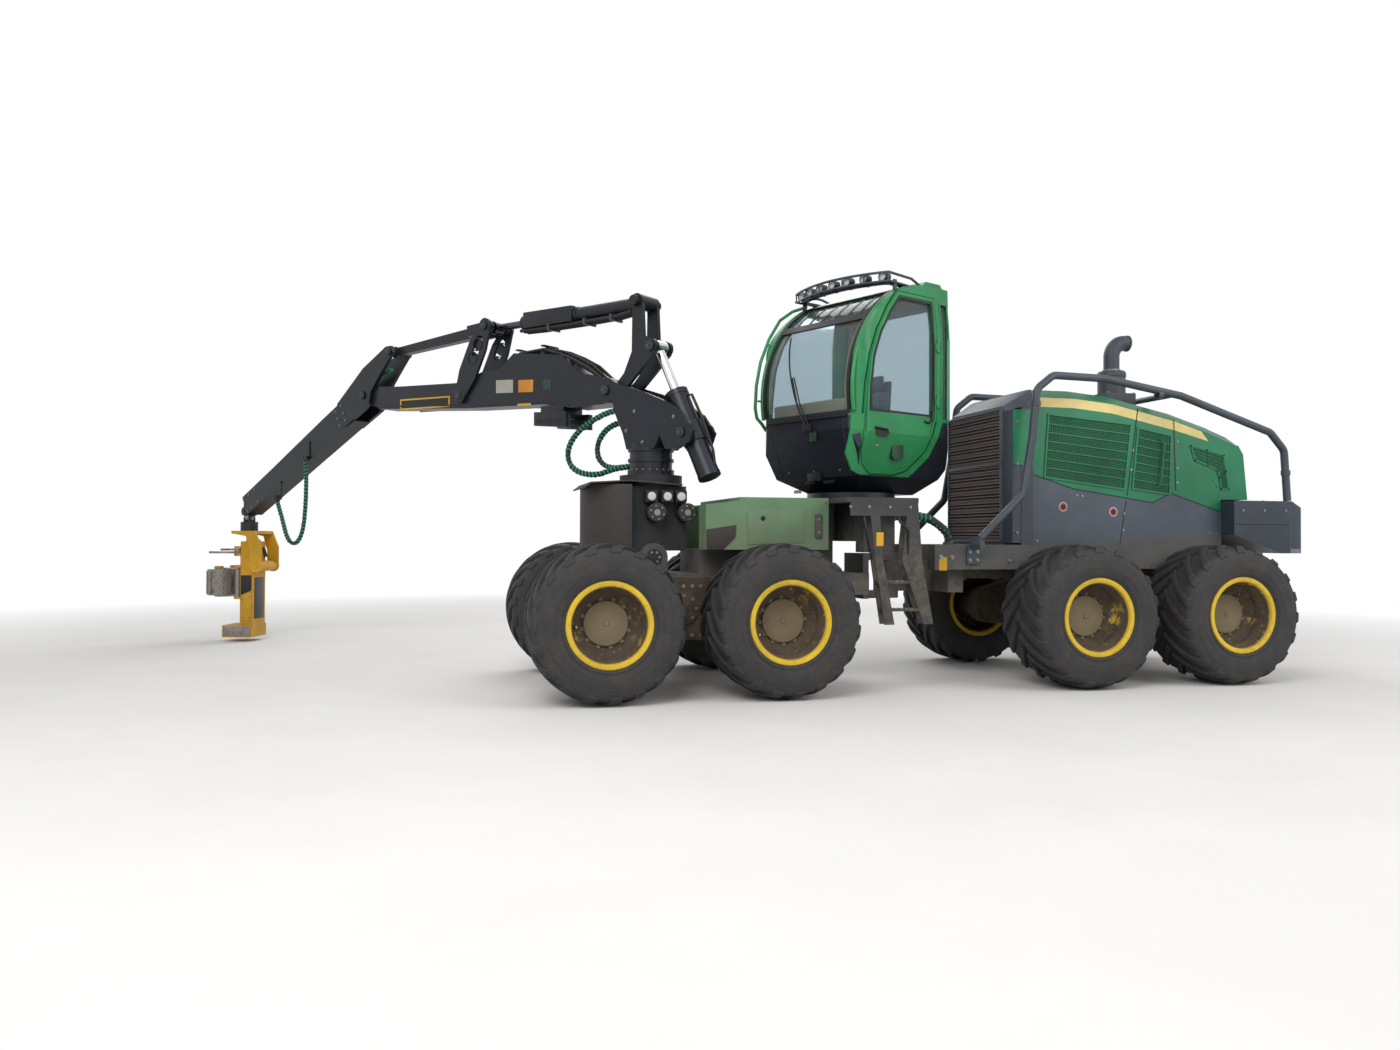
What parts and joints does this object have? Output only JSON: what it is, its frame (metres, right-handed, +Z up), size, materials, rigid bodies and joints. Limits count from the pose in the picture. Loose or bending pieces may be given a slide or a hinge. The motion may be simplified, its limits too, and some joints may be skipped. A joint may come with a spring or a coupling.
{
  "type": "forestry harvester",
  "caption": "Articulated wheeled forestry harvester with bogie axles, a slewing cab and a folding crane that carries a tree-felling head.",
  "frame": {"origin": "on the ground, centre of the whole machine's box", "axes": "+X forward, +Y to the machine's left, +Z up"},
  "size_m": [11.7932, 7.2038, 3.967],
  "materials": {
    "tyre_black": "matte",
    "rim_yellow": "satin",
    "frame_grey": "satin",
    "axle_iron": "matte",
    "box_green": "matte",
    "deck_grey": "matte",
    "base_grey": "matte",
    "guard_brown": "matte",
    "crane_charcoal": "satin",
    "rod_chrome": "polished",
    "worn_steel": "satin",
    "rotator_iron": "satin",
    "hose_rubber": "matte",
    "head_yellow": "satin",
    "engine_iron": "matte",
    "radiator_brown": "matte",
    "hood_green": "gloss",
    "panel_grey": "satin",
    "exhaust_grey": "matte",
    "rail_grey": "satin",
    "cab_black": "satin",
    "clear_glass": "gloss",
    "seat_fabric": "matte"
  },
  "bodies": {
    "front_frame": {"front_chassis": "frame_grey", "front_bogie_axle": "axle_iron", "tool_box": "box_green", "cab_platform": "deck_grey", "frame_hose": "hose_rubber"},
    "rear_frame": {"rear_chassis": "frame_grey", "rear_bogie_axle": "axle_iron", "engine_block": "engine_iron", "radiator_housing": "radiator_brown", "engine_hood": "hood_green", "lower_side_panels": "panel_grey", "exhaust_pipe": "exhaust_grey", "guard_rails": "rail_grey", "rear_box": "panel_grey"},
    "crane_base": {"crane_base": "base_grey", "crane_guards": "guard_brown"},
    "crane_pillar": {"crane_pillar": "crane_charcoal", "base_hose_outer": "hose_rubber", "base_hose_inner": "hose_rubber"},
    "main_boom": {"main_boom": "crane_charcoal"},
    "lift_barrel": {"lift_cylinder_barrel": "crane_charcoal"},
    "lift_rod": {"lift_cylinder_rod": "rod_chrome"},
    "knuckle": {"knuckle_lever": "crane_charcoal"},
    "tie_bar": {"tie_bar": "crane_charcoal"},
    "jib_barrel": {"jib_cylinder_barrel": "crane_charcoal"},
    "jib_rod": {"jib_cylinder_rod": "rod_chrome"},
    "outer_boom": {"outer_boom": "crane_charcoal", "tip_hose": "hose_rubber"},
    "extension_boom": {"extension_boom": "crane_charcoal"},
    "tip_link": {"tip_link": "worn_steel"},
    "rotator": {"rotator": "rotator_iron"},
    "tilt_bracket": {"tilt_bracket": "head_yellow"},
    "head_frame": {"head_frame": "head_yellow"},
    "feed_arm_left": {"feed_arm_left": "head_yellow"},
    "feed_arm_right": {"feed_arm_right": "head_yellow"},
    "knife_left": {"knife_left": "worn_steel"},
    "knife_right": {"knife_right": "worn_steel"},
    "cab": {"cab_lower_body": "cab_black", "cab_frame": "hood_green", "cab_roof": "hood_green", "cab_glass": "clear_glass", "cab_seat": "seat_fabric"},
    "cab_door": {"cab_door": "hood_green", "door_glass": "clear_glass"},
    "wheel_left_1": {"tyre_left_1": "tyre_black", "rim_left_1": "rim_yellow"},
    "wheel_right_1": {"tyre_right_1": "tyre_black", "rim_right_1": "rim_yellow"},
    "wheel_left_2": {"tyre_left_2": "tyre_black", "rim_left_2": "rim_yellow"},
    "wheel_right_2": {"tyre_right_2": "tyre_black", "rim_right_2": "rim_yellow"},
    "wheel_left_3": {"tyre_left_3": "tyre_black", "rim_left_3": "rim_yellow"},
    "wheel_right_3": {"tyre_right_3": "tyre_black", "rim_right_3": "rim_yellow"},
    "wheel_left_4": {"tyre_left_4": "tyre_black", "rim_left_4": "rim_yellow"},
    "wheel_right_4": {"tyre_right_4": "tyre_black", "rim_right_4": "rim_yellow"}
  },
  "joints": [
    {"name": "wheel_left_1_spin", "type": "hinge", "parent": "front_frame", "child": "wheel_left_1", "pos_m": [1.58345, 3.24695, 0.675], "axis": [0, 1, 0], "continuous": true},
    {"name": "wheel_right_1_spin", "type": "hinge", "parent": "front_frame", "child": "wheel_right_1", "pos_m": [1.58345, 1.01695, 0.675], "axis": [0, 1, 0], "continuous": true},
    {"name": "wheel_left_2_spin", "type": "hinge", "parent": "front_frame", "child": "wheel_left_2", "pos_m": [0.02345, 3.24695, 0.675], "axis": [0, 1, 0], "continuous": true},
    {"name": "wheel_right_2_spin", "type": "hinge", "parent": "front_frame", "child": "wheel_right_2", "pos_m": [0.02345, 1.01695, 0.675], "axis": [0, 1, 0], "continuous": true},
    {"name": "wheel_left_3_spin", "type": "hinge", "parent": "rear_frame", "child": "wheel_left_3", "pos_m": [-2.96655, 3.24695, 0.675], "axis": [0, 1, 0], "continuous": true},
    {"name": "wheel_right_3_spin", "type": "hinge", "parent": "rear_frame", "child": "wheel_right_3", "pos_m": [-2.96655, 1.01695, 0.675], "axis": [0, 1, 0], "continuous": true},
    {"name": "wheel_left_4_spin", "type": "hinge", "parent": "rear_frame", "child": "wheel_left_4", "pos_m": [-4.52655, 3.24695, 0.675], "axis": [0, 1, 0], "continuous": true},
    {"name": "wheel_right_4_spin", "type": "hinge", "parent": "rear_frame", "child": "wheel_right_4", "pos_m": [-4.52655, 1.01695, 0.675], "axis": [0, 1, 0], "continuous": true},
    {"name": "steering", "type": "hinge", "parent": "front_frame", "child": "rear_frame", "pos_m": [-1.47155, 2.13195, 1.18], "axis": [0, 0, 1], "range_deg": [-40, 40], "deforming": ["frame_hose"]},
    {"name": "crane_tilt", "type": "hinge", "parent": "front_frame", "child": "crane_base", "pos_m": [1.00345, 2.13195, 1.215], "axis": [0, 1, 0], "range_deg": [-8, 12]},
    {"name": "crane_slew", "type": "hinge", "parent": "crane_base", "child": "crane_pillar", "pos_m": [0.96345, 2.13195, 1.99], "axis": [0, 0, -1], "range_deg": [-167, 63]},
    {"name": "boom_lift", "type": "hinge", "parent": "crane_pillar", "child": "main_boom", "pos_m": [1.23342, 1.81021, 2.83], "axis": [-0.766, -0.6428, 0], "range_deg": [-20, 30]},
    {"name": "lift_barrel_swing", "type": "hinge", "parent": "crane_pillar", "child": "lift_barrel", "pos_m": [0.64205, 2.51497, 2.37], "axis": [-0.766, -0.6428, 0], "range_deg": [-10, 10]},
    {"name": "lift_rod_slide", "type": "slide", "parent": "lift_barrel", "child": "lift_rod", "axis": [0.2793, -0.3328, 0.9007], "range_m": [-0.45, 0.35]},
    {"name": "jib", "type": "hinge", "parent": "main_boom", "child": "outer_boom", "pos_m": [3.71458, -1.14672, 3.08], "axis": [0.766, 0.6428, 0], "range_deg": [-15, 90]},
    {"name": "knuckle_swing", "type": "hinge", "parent": "main_boom", "child": "knuckle", "pos_m": [2.59613, 0.18619, 2.94], "axis": [0.766, 0.6428, 0], "range_deg": [-25, 90]},
    {"name": "tie_swing", "type": "hinge", "parent": "knuckle", "child": "tie_bar", "pos_m": [2.34544, 0.48495, 3.66], "axis": [0.766, 0.6428, 0], "range_deg": [-90, 30]},
    {"name": "jib_barrel_swing", "type": "hinge", "parent": "main_boom", "child": "jib_barrel", "pos_m": [1.01487, 2.07066, 3.67], "axis": [0.766, 0.6428, 0], "range_deg": [-20, 20]},
    {"name": "jib_rod_slide", "type": "slide", "parent": "jib_barrel", "child": "jib_rod", "axis": [0.6428, -0.766, -0.0048], "range_m": [-0.35, 1.2]},
    {"name": "extension", "type": "slide", "parent": "outer_boom", "child": "extension_boom", "axis": [0.5749, -0.6851, -0.4473], "range_m": [0, 1.7]},
    {"name": "tip_swing", "type": "hinge", "parent": "extension_boom", "child": "tip_link", "pos_m": [5.39868, -3.15376, 1.73], "axis": [0.766, 0.6428, 0], "range_deg": [-95, 20]},
    {"name": "side_swing", "type": "hinge", "parent": "tip_link", "child": "rotator", "pos_m": [5.39868, -3.15376, 1.64], "axis": [0.6428, -0.766, 0], "range_deg": [-20, 20]},
    {"name": "rotator_turn", "type": "hinge", "parent": "rotator", "child": "tilt_bracket", "pos_m": [5.39868, -3.15376, 1.47], "axis": [0, 0, 1], "continuous": true},
    {"name": "head_tilt", "type": "hinge", "parent": "tilt_bracket", "child": "head_frame", "pos_m": [5.19584, -3.09941, 1], "axis": [0.2588, 0.9659, 0], "range_deg": [0, 90]},
    {"name": "feed_arm_left_open", "type": "hinge", "parent": "head_frame", "child": "feed_arm_left", "pos_m": [5.51737, -3.01992, 0.79], "axis": [0, 0, 1], "range_deg": [0, 40]},
    {"name": "feed_arm_right_open", "type": "hinge", "parent": "head_frame", "child": "feed_arm_right", "pos_m": [5.43455, -3.32901, 0.79], "axis": [0, 0, 1], "range_deg": [-40, 0]},
    {"name": "knife_left_open", "type": "hinge", "parent": "head_frame", "child": "knife_left", "pos_m": [5.51737, -3.01992, 1.17], "axis": [0, 0, 1], "range_deg": [0, 40]},
    {"name": "knife_right_open", "type": "hinge", "parent": "head_frame", "child": "knife_right", "pos_m": [5.43455, -3.32901, 1.17], "axis": [0, 0, 1], "range_deg": [-40, 0]},
    {"name": "cab_slew", "type": "hinge", "parent": "front_frame", "child": "cab", "pos_m": [-1.09655, 2.13195, 1.765], "axis": [0, 0, -1], "range_deg": [-55, 105]},
    {"name": "door_swing", "type": "hinge", "parent": "cab", "child": "cab_door", "pos_m": [-1.84264, 2.56303, 2.75], "axis": [0, 0, 1], "range_deg": [0, 100]}
  ],
  "couplings": [
    {"joint": "lift_barrel_swing", "follows": "boom_lift", "ratio": 0.0443},
    {"joint": "lift_rod_slide", "follows": "boom_lift", "m_per_rad": -0.63014},
    {"joint": "knuckle_swing", "follows": "jib", "ratio": 0.78325},
    {"joint": "tie_swing", "follows": "jib", "ratio": -0.85063},
    {"joint": "jib_barrel_swing", "follows": "jib", "ratio": -0.01129},
    {"joint": "jib_rod_slide", "follows": "jib", "m_per_rad": 0.61009},
    {"joint": "tip_swing", "follows": "jib", "ratio": -1},
    {"joint": "feed_arm_right_open", "follows": "feed_arm_left_open", "ratio": -1},
    {"joint": "knife_right_open", "follows": "knife_left_open", "ratio": -1}
  ]
}
